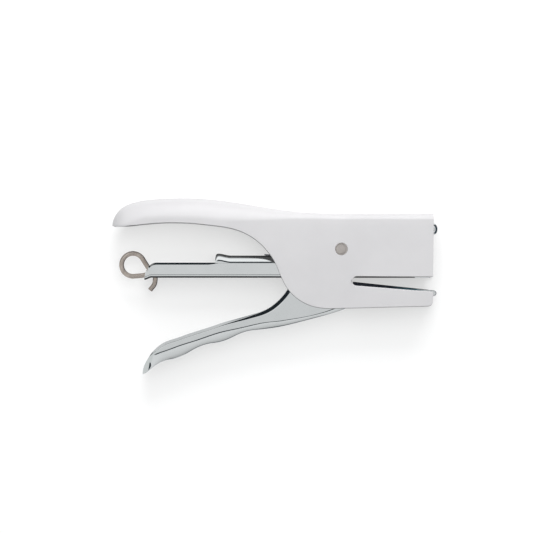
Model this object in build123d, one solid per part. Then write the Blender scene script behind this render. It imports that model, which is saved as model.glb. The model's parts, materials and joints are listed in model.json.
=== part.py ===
"""A plier stapler, the hand-held kind: a pressed steel body with a fixed top handle and a lower jaw,
and a lever that tilts the staple magazine onto the anvil and then drives the staple.

Everything is modelled about the main pin, in millimetres: X runs forward to the jaws, Y up to the top
handle and Z across the tool. The last step moves it to the row frame, where the tool lies on its side.
"""

import os
from math import asin, atan2, cos, degrees, hypot, radians, sin, tan

from build123d import *

os.makedirs("parts", exist_ok=True)

# Body, a folded sheet shell
BODY_HALF = 9.0
BODY_SHEET = 1.2
BODY_INNER = BODY_HALF - BODY_SHEET
BODY_TOP = 17.2
FRONT_TOP_X = 45.2
FRONT_LOW_X = 44.8
TIP_X = -112.3
TIP_LOW_Y = 11.2
HANDLE_EDGE_R = 3.6
TIP_PLAN_R = 7.5

# Lever, a folded channel that straddles the magazine
LEVER_HALF = 7.5
LEVER_SHEET = 1.2
LEVER_INNER = LEVER_HALF - LEVER_SHEET
LEVER_CROWN_R = 2.6
PIVOT_BOSS_R = 6.5
NOSE_BOSS_R = 4.0

# Magazine
MAG_HALF = 6.0
MAG_WALL = 1.0
MAG_INNER = MAG_HALF - MAG_WALL
MAG_BOTTOM = -14.1
MAG_RAIL_TOP = -6.7
MAG_REAR_X = -96.4
MAG_FLOOR = MAG_BOTTOM + 1.0
COVER_TOP = -3.6
COVER_SHEET = 1.0
COVER_REAR_X = -61.7
HEAD_REAR_X = 36.0
HEAD_FRONT_X = 43.5
HEAD_WALL = 1.2
HEAD_TOP = -3.4
EAR_R = 5.0
EAR_FOOT = 8.0

# Main pin and its sleeve
PIN_R = 2.0
PIN_HEAD_R = 3.07
PIN_SINK = 0.95
PIN_RECESS = 0.05
SLEEVE_R = 2.6
FIT = 0.05

# Driver, carried by the magazine's head and pushed by a cross pin in the lever
STROKE = 6.9
BLADE_X = 41.3
BLADE_T = 0.7
BLADE_LOW = -7.0
BLADE_HALF = 4.7
NOSE_PIN = (36.0, 8.5)
NOSE_PIN_R = 1.5
BLOCK_LOW, BLOCK_HIGH = 4.2, 15.7
RIVET_Y = 9.7
RIVET_DOME_R = 2.9
RIVET_DOME_H = 2.4

# Pusher rod with its pull ring, one bent wire
WIRE_R = 1.1
ROD_Y = -10.2
ROD_FRONT_X = 39.6
RING_CENTRE = (-101.6, -7.6)
RING_R = 5.9
HOOK_X = -91.3
SEAT_X = -83.0
PUSHER_REAR_X = 33.0
PUSHER_FRONT_X = 41.0

# Anvil line on the lower jaw, which slopes down towards the mouth
ANVIL_START = (5.6, -16.05)
ANVIL_DEG = 6.0
ANVIL_T = 1.0
CLINCH_X = 34.0

# How far the magazine tilts before it meets the paper, and what the lever turns through in all
TILT_DEG = 7.0
NOSE_REACH = hypot(*NOSE_PIN)
NOSE_START_DEG = degrees(atan2(NOSE_PIN[1], NOSE_PIN[0]))
NOSE_END_DEG = degrees(asin((NOSE_PIN[1] - STROKE) / NOSE_REACH))
SQUEEZE_DEG = TILT_DEG + NOSE_START_DEG - NOSE_END_DEG


def prism(edges, half, low=None):
    """A solid of the closed outline in XY, from -half to half, or from low to half."""
    face = make_face(edges)
    if low is None:
        return extrude(face, half, both=True)
    return Pos(0, 0, low) * extrude(face, half - low)


def closed(points):
    return Polyline(*points, close=True)


def block(x0, x1, y0, y1, half, low=None):
    return prism(closed([(x0, y0), (x1, y0), (x1, y1), (x0, y1)]), half, low)


def mirrored(shape):
    """The shape and its mirror image on the other side of the mid plane."""
    return shape + mirror(shape, about=Plane.XY)


def cross_pin(radius, half, x=0.0, y=0.0, low=None):
    low = -half if low is None else low
    return Pos(x, y, (low + half) / 2) * Cylinder(radius, half - low)


def lengthwise(radius, x0, x1, y=0.0, z=0.0):
    """A cylinder along X."""
    return Pos((x0 + x1) / 2, y, z) * Rot(0, 90, 0) * Cylinder(radius, x1 - x0)


def flow(stations):
    """A smooth line through the stations, each of them (x, y, heading in degrees)."""
    pieces = []
    for (x0, y0, turn0), (x1, y1, turn1) in zip(stations, stations[1:]):
        reach = hypot(x1 - x0, y1 - y0) / 3
        leave = (x0 + reach * cos(radians(turn0)), y0 + reach * sin(radians(turn0)))
        arrive = (x1 - reach * cos(radians(turn1)), y1 - reach * sin(radians(turn1)))
        pieces.append(Bezier((x0, y0), leave, arrive, (x1, y1)))
    return pieces


def beside(stations, distance):
    """The stations of a line beside the given one, to the right of its direction."""
    return [(x + distance * sin(radians(turn)), y - distance * cos(radians(turn)), turn)
            for x, y, turn in stations]


def edges_on_side(shape, half, test):
    """The edges that lie on either side face and pass the test at their centre."""
    return [
        e for e in shape.edges()
        if abs(abs(e.center().Z) - half) < 1e-3 and abs(e.bounding_box().size.Z) < 1e-3 and test(e.center())
    ]


def coil(radius, wire, length, turns):
    """A helical spring along +Z from the origin, its wire inside that length."""
    height = length - 2 * wire
    path = Helix(pitch=height / turns, height=height, radius=radius)
    section = Plane(origin=path @ 0, z_dir=path % 0) * Circle(wire)
    return Pos(0, 0, wire) * sweep(section, path=path, is_frenet=True)


# ---------------------------------------------------------------- body

# The top line, from the tip of the handle to where the flat top begins
CREST = [
    (TIP_X, TIP_LOW_Y, 91), (-106.3, 20.9, 28), (-94.0, 24.1, 5), (-78.0, 24.8, 0), (-60.0, 23.8, -7),
    (-44.7, 21.5, -10), (-24.4, 18.4, -6.5), (-5.0, BODY_TOP, 0),
]

# The lower line, from the jaw's flat underside back past the tip of the handle
UNDERSIDE = [
    (-5.0, -29.35, 180), (-15.6, -27.7, 160), (-26.1, -19.9, 127), (-31.6, -8.6, 113), (-37.5, 0.25, 131),
    (-50.2, 8.8, 160), (-68.9, 12.0, 173), (-84.0, 12.7, 180), (-101.8, 11.35, 187),
    (TIP_X - 3, TIP_LOW_Y, 180),
]


def plan_outline(x0, x1, half, corner):
    """A slab in plan, square at the front and rounded at the tip of the handle."""
    slab = Pos((x0 + x1) / 2, 0, 0) * Box(x1 - x0, 160, 2 * half)
    tip = [e for e in slab.edges() if abs(e.center().X - x0) < 1e-3 and e.bounding_box().size.Y > 100]
    return fillet(tip, corner)


def roof(crest, half, edge, corner):
    """A solid under the top line, with its long edges rounded and its tip rounded in plan."""
    (tip_x, tip_y, _), (flat_x, flat_y, _) = crest[0], crest[-1]
    solid = prism([
        *flow(crest),
        Polyline((flat_x, flat_y), (60, flat_y), (60, -60), (tip_x, -60), (tip_x, tip_y)),
    ], half)
    solid = fillet(edges_on_side(solid, half, lambda c: c.Y > flat_y - 0.1), edge)
    return solid & plan_outline(tip_x, 80, half, corner)


def body_shell():
    shell = roof(CREST, BODY_HALF, HANDLE_EDGE_R, TIP_PLAN_R)
    shell &= prism([
        Polyline((TIP_X - 3, TIP_LOW_Y), (TIP_X - 3, 40), (FRONT_TOP_X, 40), (FRONT_LOW_X, -13.9),
                 (7.3, -13.5)),
        ThreePointArc((7.3, -13.5), (5.3, -15.55), (7.2, -17.7)),
        Polyline((7.2, -17.7), (FRONT_LOW_X, -20.9), (44.6, -25.7)),
        ThreePointArc((44.6, -25.7), (43.9, -27.4), (42.2, -28.2)),
        Line((42.2, -28.2), (-5.0, -29.35)),
        *flow(UNDERSIDE),
    ], 2 * BODY_HALF)
    inner_edge = HANDLE_EDGE_R - BODY_SHEET
    shell -= roof(beside(CREST, BODY_SHEET), BODY_INNER, inner_edge, TIP_PLAN_R - BODY_SHEET)

    for side in (1, -1):
        hole = Cone(PIN_R + FIT, PIN_HEAD_R + FIT, PIN_SINK)
        sink = BODY_HALF - PIN_SINK / 2
        shell -= Pos(0, 0, side * sink) * Rot(0 if side > 0 else 180, 0, 0) * hole
    return shell - cross_pin(PIN_R + FIT, BODY_HALF)


def main_pin():
    """A rivet with its ends set flush into countersinks in the body's sides."""
    end = BODY_HALF - PIN_RECESS
    pin = cross_pin(PIN_R, end)
    for side in (1, -1):
        head = Cone(PIN_R, PIN_HEAD_R - PIN_RECESS, PIN_SINK - PIN_RECESS)
        place = end - (PIN_SINK - PIN_RECESS) / 2
        pin += Pos(0, 0, side * place) * Rot(0 if side > 0 else 180, 0, 0) * head
    return pin


def pin_sleeve():
    return cross_pin(SLEEVE_R, MAG_INNER - 0.1) - cross_pin(PIN_R + FIT, MAG_HALF)


def leaf_spring():
    """A hairpin leaf round the sleeve: one leg on the magazine's cover, one under the body's top."""
    thick, half_width = 0.65, 3.5
    radius = SLEEVE_R + 0.05 + thick / 2
    low = -radius
    path = [
        Spline((-37.8, low + 0.45), (-35.6, low + 0.1), (-33.0, low), tangents=[(1, -0.25), (1, 0)]),
        Line((-33.0, low), (0, low)),
        ThreePointArc((0, low), (radius, 0), (0, -low)),
        Spline((0, -low), (-9.0, 5.6), (-20.0, 14.2), (-24.5, 16.3), tangents=[(-1, 0), (-1, 0.15)]),
    ]
    route = Wire(path)
    section = Plane(origin=route @ 0, z_dir=route % 0, x_dir=(0, 0, 1)) * Rectangle(2 * half_width, thick)
    return sweep(section, path=route)


# ---------------------------------------------------------------- lower jaw

def on_anvil(shape):
    """Moves a shape from the anvil's own frame, where its face is the line y = 0, to the tool's."""
    return Pos(*ANVIL_START) * Rot(0, 0, -ANVIL_DEG) * shape


def jaw_bridge():
    """The bar that joins the jaw's two cheeks, carries the anvil and shows as the rounded nose."""
    half = BODY_INNER - 0.1
    web = on_anvil(block(0.1, 39.6, -ANVIL_T - 1.6, -ANVIL_T, half))
    nose = on_anvil(prism([
        Line((39.45, -2.95), (39.45, 0.0)),
        Line((39.45, 0.0), (39.9, 0.0)),
        ThreePointArc((39.9, 0.0), (41.35, -1.45), (39.9, -2.95)),
        Line((39.9, -2.95), (39.45, -2.95)),
    ], half))
    corners = [e for e in nose.edges() if abs(abs(e.center().Z) - half) < 1e-3 and e.center().X > 44.9]
    nose = fillet(corners, 0.7)
    cheek = prism(closed([(8.2, -18.6), (43.6, -22.4), (43.2, -26.8), (8.2, -27.8)]), half, half - 1.2)
    return web + nose + mirrored(cheek)


def anvil_rivet_places():
    return (10.0, 24.0)


def anvil_plate():
    plate = block(0.3, 39.4, -ANVIL_T, 0, 7.4)
    plate = fillet(edges_on_side(plate, 7.4, lambda c: c.Y > -0.01), 0.8)
    for side in (1, -1):
        plate -= lengthwise(3.0, CLINCH_X - 1.2, CLINCH_X + 1.2, 2.55, side * 3.3)
    for x in anvil_rivet_places():
        plate -= Pos(x, 0, 0) * Rot(90, 0, 0) * Cylinder(1.4 + FIT, 8)
    return on_anvil(plate)


def anvil_rivets():
    shank = Pos(0, -1.55, 0) * Rot(90, 0, 0) * Cylinder(1.4, 3.0)
    tail = Pos(0, -3.05, 0) * Rot(90, 0, 0) * Cylinder(2.2, 0.8)
    rivet = shank + tail
    return on_anvil(Compound([Pos(x, 0, 0) * rivet for x in anvil_rivet_places()]))


def bored_jaw_bridge():
    holes = [Pos(x, -2, 0) * Rot(90, 0, 0) * Cylinder(1.4 + FIT, 2.4) for x in anvil_rivet_places()]
    return jaw_bridge() - on_anvil(Compound(holes))


# ---------------------------------------------------------------- lever

# The walls' upper edge, from the main pin's boss to the tip of the grip
LEVER_TOP = [
    (-6.3, 1.6, 211), (-15.0, -5.6, 224), (-26.1, -19.7, 238), (-34.1, -28.2, 216), (-46.0, -32.8, 197),
    (-60.7, -37.1, 200), (-78.5, -43.0, 201), (-88.4, -46.8, 214), (-94.0, -52.6, 237),
    (-97.5, -61.0, 268),
]

# The grip's underside with its finger waves, from the tip forward to the body
LEVER_BOTTOM = [
    (-96.2, -61.6, 40), (-91.0, -57.3, 36), (-83.5, -54.35, 8), (-73.0, -50.0, 32), (-62.4, -46.35, 4),
    (-52.4, -43.1, 29), (-42.4, -39.9, 4), (-27.0, -37.7, 13), (-13.0, -34.0, 15), (1.0, -29.7, 20),
]


def above(line, half):
    """A solid above a line, which goes on straight past both of its ends."""
    past = []
    for (x, y, turn), reach in ((line[0], -8), (line[-1], 8)):
        past.append((x + reach * cos(radians(turn)), y + reach * sin(radians(turn))))
    start, end = past
    return prism([
        *flow(line),
        Polyline(line[-1][:2], end, (60, end[1]), (60, 40), (-120, 40), (-120, start[1]), start,
                 line[0][:2]),
    ], half)


def lever_arm():
    """The side outline of the front arm, from the main pin's boss to the cross pin's."""
    gap = degrees(asin((PIVOT_BOSS_R - NOSE_BOSS_R) / NOSE_REACH))
    corners = []
    for centre, radius, turn in (
        ((0, 0), PIVOT_BOSS_R, 90 - gap), (NOSE_PIN, NOSE_BOSS_R, 90 - gap),
        (NOSE_PIN, NOSE_BOSS_R, gap - 90), ((0, 0), PIVOT_BOSS_R, gap - 90),
    ):
        angle = radians(NOSE_START_DEG + turn)
        corners.append((centre[0] + radius * cos(angle), centre[1] + radius * sin(angle)))
    return closed(corners)


def lever():
    shape = above(LEVER_BOTTOM, LEVER_HALF)
    crown = edges_on_side(shape, LEVER_HALF, lambda c: c.Y < -20 and -105 < c.X < 15)
    shape = fillet(crown, LEVER_CROWN_R)
    shape &= prism([
        *flow(LEVER_TOP),
        ThreePointArc((-97.5, -61.0), (-97.1, -61.9), (-96.2, -62.2)),
        Polyline((-96.2, -62.2), (-60.0, -70.0), (3.4, -40.0), (3.4, -28.0), (4.4, -24.0), (4.6, -13.0),
                 (5.6, -3.3), (-6.3, 1.6)),
    ], 2 * LEVER_HALF)
    shape += cross_pin(PIVOT_BOSS_R, LEVER_HALF) + cross_pin(NOSE_BOSS_R, LEVER_HALF, *NOSE_PIN)
    shape += prism(lever_arm(), LEVER_HALF)

    shape -= above(beside(LEVER_BOTTOM, -LEVER_SHEET), LEVER_INNER)
    shape -= cross_pin(PIN_R + FIT, BODY_HALF) + cross_pin(NOSE_PIN_R + 0.02, BODY_HALF, *NOSE_PIN)
    return shape - cross_pin(0.9 + 0.02, BODY_HALF, 20, 5.6)


def nose_pin():
    return cross_pin(NOSE_PIN_R, LEVER_HALF, *NOSE_PIN)


def spring_bridge():
    """A folded plate between the lever's arms that the coil spring pushes up against."""
    half = LEVER_INNER - 0.05
    plate = block(13.5, 26.5, 7.9, 9.1, half)
    tabs = block(16.0, 24.0, 3.8, 8.0, half, half - 1.1)
    return plate + mirrored(tabs - cross_pin(0.9 + 0.02, BODY_HALF, 20, 5.6))


def bridge_rivets():
    rivet = cross_pin(0.9, LEVER_HALF, 20, 5.6, LEVER_INNER - 1.15)
    rivet += cross_pin(1.6, LEVER_INNER - 1.15, 20, 5.6, LEVER_INNER - 1.75)
    return Compound([rivet, mirror(rivet, about=Plane.XY)])


# ---------------------------------------------------------------- magazine

def magazine_channel():
    rail = [
        Line((MAG_REAR_X, -15.3), (MAG_REAR_X + 0.3, -12.4)),
        ThreePointArc((MAG_REAR_X + 0.3, -12.4), (-94.5, -8.9), (-90.6, MAG_RAIL_TOP)),
        Line((-90.6, MAG_RAIL_TOP), (-EAR_FOOT, MAG_RAIL_TOP)),
        Line((-EAR_FOOT, MAG_RAIL_TOP), (-EAR_R, 0)),
        ThreePointArc((-EAR_R, 0), (0, EAR_R), (EAR_R, 0)),
        Line((EAR_R, 0), (EAR_FOOT, MAG_RAIL_TOP)),
        Polyline((EAR_FOOT, MAG_RAIL_TOP), (HEAD_REAR_X, MAG_RAIL_TOP), (HEAD_REAR_X, MAG_BOTTOM),
                 (-93.0, MAG_BOTTOM), (MAG_REAR_X, -15.3)),
    ]
    channel = prism(rail, MAG_HALF)
    channel = fillet(edges_on_side(channel, MAG_HALF, lambda c: c.Y < -14 and c.X > -90), 0.7)
    channel -= prism(closed([
        (-98, -15.08), (-93.0, MAG_FLOOR), (HEAD_REAR_X + 1, MAG_FLOOR), (HEAD_REAR_X + 1, 10), (-98, 10),
    ]), MAG_INNER)
    channel += block(HEAD_REAR_X - 1, BLADE_X - 0.4, MAG_BOTTOM, MAG_FLOOR, MAG_INNER - FIT)
    channel -= cross_pin(PIN_R + FIT, BODY_HALF)
    # The hook drops through a cross slot, which opens to the rear on one side only.
    channel -= block(-92.8, -89.8, -16, -12, 4.9, -1.5)
    return channel - block(-98, -92.7, -16, -12, 4.9, 0.7)


def magazine_cover():
    """The folded lid that closes the front two thirds, its rear lip turned up to lead staples in."""
    front = BLADE_X - 0.4
    lid = block(-54.5, front, MAG_RAIL_TOP, COVER_TOP, MAG_HALF)
    lid = fillet(edges_on_side(lid, MAG_HALF, lambda c: c.Y > COVER_TOP - 0.01), 0.9)
    lid += prism([
        Line((-54.5, MAG_RAIL_TOP), (-56.0, MAG_RAIL_TOP)),
        Spline((-56.0, MAG_RAIL_TOP), (-59.0, -6.3), (-61.4, -5.4), tangents=[(-1, 0), (-0.9, 0.5)]),
        ThreePointArc((-61.4, -5.4), (COVER_REAR_X, -4.5), (-61.3, -3.4)),
        Spline((-61.3, -3.4), (-60.0, -2.45), (-57.6, -3.2), (-54.5, COVER_TOP),
               tangents=[(0.3, 1), (1, 0)]),
        Line((-54.5, COVER_TOP), (-54.5, MAG_RAIL_TOP)),
    ], MAG_HALF - 0.2)
    under = COVER_TOP - COVER_SHEET
    lid -= prism(closed([
        (-63, -8), (-63, -3.9), (-60.2, -3.7), (-57.0, -4.4), (-54.5, under), (front + 1, under),
        (front + 1, -8),
    ]), MAG_INNER)
    for low, high in ((-EAR_FOOT - 0.3, EAR_FOOT + 0.3), (HEAD_REAR_X, front + 1)):
        lid -= mirrored(block(low, high, -8, 0, BODY_HALF, MAG_INNER - FIT))
    return lid


def magazine_head():
    """The nose of the magazine: a front wall and two side walls that guide the driver blade."""
    front = block(HEAD_FRONT_X - HEAD_WALL, HEAD_FRONT_X, MAG_BOTTOM, HEAD_TOP, MAG_HALF)
    front = fillet([e for e in front.edges() if abs(e.center().X - HEAD_FRONT_X) < 1e-3
                    and e.bounding_box().size.Y > 5], 0.6)
    side = block(HEAD_REAR_X + FIT, HEAD_FRONT_X - HEAD_WALL, MAG_BOTTOM, HEAD_TOP, MAG_HALF, MAG_INNER)
    return front + mirrored(side)


def spring_cup():
    """A washer with a boss on the cover that keeps the coil spring in its place."""
    upright = Rot(-90, 0, 0)
    cup = Pos(20, COVER_TOP + 0.4, 0) * upright * Cylinder(4.6, 0.8)
    return cup + Pos(20, COVER_TOP + 1.6, 0) * upright * Cylinder(2.4, 1.6)


def coil_spring():
    low, high = COVER_TOP + 0.85, 7.85
    return Pos(20, low, 0) * Rot(-90, 0, 0) * coil(3.4, 0.5, high - low, 5)


# ---------------------------------------------------------------- driver

def rivet_hole():
    return lengthwise(1.6 + FIT, 30, 50, RIVET_Y)


def hammer_block():
    """The front block that carries the driver blade and shows its domed rivet in the open front."""
    shape = block(BLADE_X + BLADE_T + 0.1, 45.0, BLOCK_LOW, BLOCK_HIGH, 5.6)
    upright = [e for e in shape.edges() if e.bounding_box().size.Y > 5]
    return fillet(upright, 0.6) - rivet_hole()


def driver_blade():
    return block(BLADE_X, BLADE_X + BLADE_T, BLADE_LOW, BLOCK_HIGH - 0.2, BLADE_HALF) - rivet_hole()


def driver_bracket():
    """A folded yoke behind the blade. The lever's cross pin works in its two slots."""
    plate = block(40.0, BLADE_X - 0.05, BLOCK_LOW + 0.2, 12.8, 5.5)
    ear = block(32.4, 40.0, BLOCK_LOW + 0.2, 12.8, 5.5, 4.3)
    reach = NOSE_REACH * cos(radians(NOSE_END_DEG))
    room = NOSE_PIN_R + 0.12
    slot = block(NOSE_PIN[0], reach, NOSE_PIN[1] - room, NOSE_PIN[1] + room, BODY_HALF)
    slot += cross_pin(room, BODY_HALF, *NOSE_PIN)
    slot += cross_pin(room, BODY_HALF, reach, NOSE_PIN[1])
    return plate + mirrored(ear - slot) - rivet_hole()


def hammer_rivet():
    ball = (RIVET_DOME_R**2 + RIVET_DOME_H**2) / (2 * RIVET_DOME_H)
    lean = radians(45)
    crown = (45.05 + RIVET_DOME_H - ball * (1 - cos(lean)), ball * sin(lean))
    profile = make_face([
        Polyline((45.05 + RIVET_DOME_H, 0), (39.1, 0), (39.1, 2.4), (39.95, 2.4), (39.95, 1.6),
                 (45.05, 1.6), (45.05, RIVET_DOME_R)),
        ThreePointArc((45.05, RIVET_DOME_R), crown, (45.05 + RIVET_DOME_H, 0)),
    ])
    return Pos(0, RIVET_Y, 0) * revolve(profile, Axis.X)


# ---------------------------------------------------------------- pusher

def pull_ring_rod():
    """One bent wire: the pusher's guide rod, the pull ring and the hook that latches in the floor."""
    lean = radians(35)
    touch = (RING_CENTRE[0] + RING_R * cos(lean), RING_CENTRE[1] + RING_R * sin(lean))
    knee = (touch[0] + (touch[1] - ROD_Y) * tan(lean), ROD_Y)
    rise = radians(12)
    leave = (RING_CENTRE[0] + RING_R * sin(rise), RING_CENTRE[1] - RING_R * cos(rise))
    turn = (HOOK_X, leave[1] + (HOOK_X - leave[0]) * tan(rise))
    route = Wire([
        *FilletPolyline((ROD_FRONT_X, ROD_Y), knee, touch, radius=3.0).edges(),
        *CenterArc(RING_CENTRE, RING_R, 35, 247).edges(),
        *FilletPolyline(leave, turn, (HOOK_X, -16.6), (-93.7, -20.3), radius=[1.6, 3.0]).edges(),
    ])
    section = Plane(origin=route @ 0, z_dir=route % 0) * Circle(WIRE_R)
    return sweep(section, path=route)


def rod_collar():
    return lengthwise(2.3, SEAT_X - 2.0, SEAT_X - 0.05, ROD_Y) - lengthwise(WIRE_R, -90, 0, ROD_Y)


def rod_stop():
    return lengthwise(1.9, ROD_FRONT_X - 1.2, ROD_FRONT_X, ROD_Y) - lengthwise(WIRE_R, 0, 45, ROD_Y)


def guide_block(x0, x1):
    shape = block(x0, x1, MAG_FLOOR + 0.3, -7.2, MAG_INNER - 0.3)
    long_edges = [e for e in shape.edges() if e.bounding_box().size.X > 3]
    return fillet(long_edges, 0.6) - lengthwise(WIRE_R + FIT, x0 - 1, x1 + 1, ROD_Y)


def spring_seat():
    return guide_block(SEAT_X, SEAT_X + 3.4)


def pusher_head():
    return guide_block(PUSHER_REAR_X, PUSHER_FRONT_X) - lengthwise(2.1, 37.6, 45, ROD_Y)


def pusher_spring():
    start = SEAT_X + 3.45
    length = PUSHER_REAR_X - 0.05 - start
    return Pos(start, ROD_Y, 0) * Rot(0, 90, 0) * coil(2.2, 0.3, length, 34)


PARTS = {
    "body_shell": body_shell,
    "main_pin": main_pin,
    "pin_sleeve": pin_sleeve,
    "leaf_spring": leaf_spring,
    "jaw_bridge": bored_jaw_bridge,
    "anvil_plate": anvil_plate,
    "anvil_rivets": anvil_rivets,
    "lever": lever,
    "nose_pin": nose_pin,
    "spring_bridge": spring_bridge,
    "bridge_rivets": bridge_rivets,
    "magazine_channel": magazine_channel,
    "magazine_cover": magazine_cover,
    "magazine_head": magazine_head,
    "spring_cup": spring_cup,
    "coil_spring": coil_spring,
    "hammer_block": hammer_block,
    "driver_blade": driver_blade,
    "driver_bracket": driver_bracket,
    "hammer_rivet": hammer_rivet,
    "pull_ring_rod": pull_ring_rod,
    "rod_collar": rod_collar,
    "rod_stop": rod_stop,
    "spring_seat": spring_seat,
    "pusher_head": pusher_head,
    "pusher_spring": pusher_spring,
}


def main():
    made = {name: build() for name, build in PARTS.items()}
    box = Compound([s for shape in made.values() for s in shape.solids()]).bounding_box()
    shift = Pos(-(box.min.X + box.max.X) / 2, -(box.min.Y + box.max.Y) / 2, -box.min.Z)
    for name, shape in made.items():
        export_step(shift * shape, f"parts/{name}.step")
    print("main pin in the row frame, mm:", shift.position)
    print("squeeze, degrees:", round(SQUEEZE_DEG, 4))
    return made, shift


if __name__ == "__main__":
    main()
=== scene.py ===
"""The looks of a plier stapler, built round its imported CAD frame.

Shapes are drawn in millimetres about the main pin: x to the mouth, y to the top handle, z to the viewer.
"""

import json
from math import asin, atan2, cos, degrees, hypot, pi, radians, sin, sqrt, tan

import bmesh
import bpy
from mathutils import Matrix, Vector


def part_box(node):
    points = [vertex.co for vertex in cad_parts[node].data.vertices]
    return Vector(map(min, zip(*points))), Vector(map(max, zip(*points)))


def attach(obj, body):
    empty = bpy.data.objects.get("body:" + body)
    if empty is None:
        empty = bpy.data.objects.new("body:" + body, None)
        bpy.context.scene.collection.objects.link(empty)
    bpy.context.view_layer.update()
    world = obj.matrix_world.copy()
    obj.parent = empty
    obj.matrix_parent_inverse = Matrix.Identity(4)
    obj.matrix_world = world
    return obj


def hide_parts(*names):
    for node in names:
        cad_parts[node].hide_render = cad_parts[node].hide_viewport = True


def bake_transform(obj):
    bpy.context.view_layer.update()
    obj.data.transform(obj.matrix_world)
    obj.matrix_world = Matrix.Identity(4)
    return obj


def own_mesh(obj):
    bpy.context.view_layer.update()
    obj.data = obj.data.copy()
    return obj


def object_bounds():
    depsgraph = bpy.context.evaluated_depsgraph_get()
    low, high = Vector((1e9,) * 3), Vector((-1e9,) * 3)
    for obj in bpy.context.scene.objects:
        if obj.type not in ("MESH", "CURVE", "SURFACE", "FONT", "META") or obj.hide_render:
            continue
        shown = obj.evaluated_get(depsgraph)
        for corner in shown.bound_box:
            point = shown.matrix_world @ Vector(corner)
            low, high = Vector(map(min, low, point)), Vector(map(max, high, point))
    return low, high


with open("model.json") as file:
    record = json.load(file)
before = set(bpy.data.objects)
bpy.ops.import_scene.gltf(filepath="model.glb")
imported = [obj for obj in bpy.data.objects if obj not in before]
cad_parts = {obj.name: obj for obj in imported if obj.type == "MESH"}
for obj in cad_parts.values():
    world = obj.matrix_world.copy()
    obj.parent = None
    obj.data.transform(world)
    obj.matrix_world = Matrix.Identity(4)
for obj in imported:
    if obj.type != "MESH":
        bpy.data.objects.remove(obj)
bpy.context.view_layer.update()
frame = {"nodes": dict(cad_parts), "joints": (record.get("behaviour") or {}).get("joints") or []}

JOINTS = {joint["name"]: joint for joint in frame["joints"]}
PIN = Vector(JOINTS["lever_squeeze"]["pos_m"])
MM = 0.001


def at(x, y, z=0.0):
    return PIN + Vector((x, y, z)) * MM


# ------------------------------------------------------------------ lines

def flow(stations, steps=8):
    """Points on a smooth line through the stations, each of them (x, y, heading in degrees)."""
    points = []
    for (x0, y0, turn0), (x1, y1, turn1) in zip(stations, stations[1:]):
        reach = hypot(x1 - x0, y1 - y0) / 3
        a, d = Vector((x0, y0)), Vector((x1, y1))
        b = a + Vector((cos(radians(turn0)), sin(radians(turn0)))) * reach
        c = d - Vector((cos(radians(turn1)), sin(radians(turn1)))) * reach
        for i in range(steps):
            t = i / steps
            points.append(a * (1 - t)**3 + b * 3 * t * (1 - t)**2 + c * 3 * t * t * (1 - t) + d * t**3)
    return points + [Vector(stations[-1][:2])]


class Line:
    """A line that can be asked for the point at a share of its length."""

    def __init__(self, points):
        self.points = [Vector(p[:2]) for p in points]
        self.run = [0.0]
        for a, b in zip(self.points, self.points[1:]):
            self.run.append(self.run[-1] + (b - a).length)

    def place(self, share):
        goal = min(max(share, 0.0), 1.0) * self.run[-1]
        for i in range(len(self.points) - 1):
            if goal <= self.run[i + 1] or i == len(self.points) - 2:
                step = self.run[i + 1] - self.run[i]
                return self.points[i].lerp(self.points[i + 1], (goal - self.run[i]) / max(step, 1e-9))

    def share_near(self, point):
        """The share of the length at the nearest point of the line."""
        best = (1e9, 0.0)
        for i, (a, b) in enumerate(zip(self.points, self.points[1:])):
            along = b - a
            t = min(max((Vector(point) - a).dot(along) / max(along.length_squared, 1e-12), 0), 1)
            gap = (a + along * t - Vector(point)).length
            if gap < best[0]:
                best = (gap, (self.run[i] + t * along.length) / self.run[-1])
        return best[1]


def ruled(first, second, ties, count):
    """Pairs of points, one on each line, that run along both from tie to tie."""
    a, b = Line(first), Line(second)
    stops = [(a.share_near(p), b.share_near(q)) for p, q in ties]
    pairs = []
    length = a.run[-1] + b.run[-1]
    for (a0, b0), (a1, b1) in zip(stops, stops[1:]):
        steps = max(1, round(count * ((a1 - a0) * a.run[-1] + (b1 - b0) * b.run[-1]) / length))
        for i in range(steps):
            t = i / steps
            pairs.append((a.place(a0 + (a1 - a0) * t), b.place(b0 + (b1 - b0) * t)))
    pairs.append((a.place(stops[-1][0]), b.place(stops[-1][1])))
    return pairs


def ease(x, x0, x1, v0, v1):
    """A value that changes smoothly from v0 at x0 to v1 at x1."""
    t = min(max((x - x0) / (x1 - x0), 0), 1)
    return v0 + (v1 - v0) * t * t * (3 - 2 * t)


def tilted(spans, steps=6):
    """(distance, drop) along a surface that bends. Each span is (length, first tilt, last tilt)."""
    points = [(0.0, 0.0)]
    for length, first, last in spans:
        for i in range(steps):
            tilt = first + (last - first) * (i + 0.5) / steps
            distance, drop = points[-1]
            points.append((distance + length / steps, drop + length / steps * tan(radians(tilt))))
    return points


def nose(x, tip, length, power=2.3):
    """The share of the full width that a blunt, rounded end has at x."""
    u = min(max((x - tip) / length, 0.0), 1.0)
    return (1 - (1 - u)**power)**(1 / power)


# ------------------------------------------------------------------ meshes

SHADE_BREAK = 28
BEND, RIM = 35, 50


def piece(name, bm, body, material, bevel=0.0, segments=2, smooth=True):
    """Makes the mesh an object that rides on a body."""
    bmesh.ops.remove_doubles(bm, verts=bm.verts, dist=2e-6)
    bmesh.ops.dissolve_degenerate(bm, edges=bm.edges, dist=1e-6)
    bmesh.ops.recalc_face_normals(bm, faces=bm.faces)
    for face in bm.faces:
        face.smooth = smooth
    mesh = bpy.data.meshes.new(name)
    bm.to_mesh(mesh)
    bm.free()
    if smooth:
        mesh.set_sharp_from_angle(angle=radians(SHADE_BREAK))
    thing = bpy.data.objects.new(name, mesh)
    bpy.context.scene.collection.objects.link(thing)
    mesh.materials.append(material)
    if bevel:
        rounding(thing, bevel, segments)
    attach(thing, body)
    return thing


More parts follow.
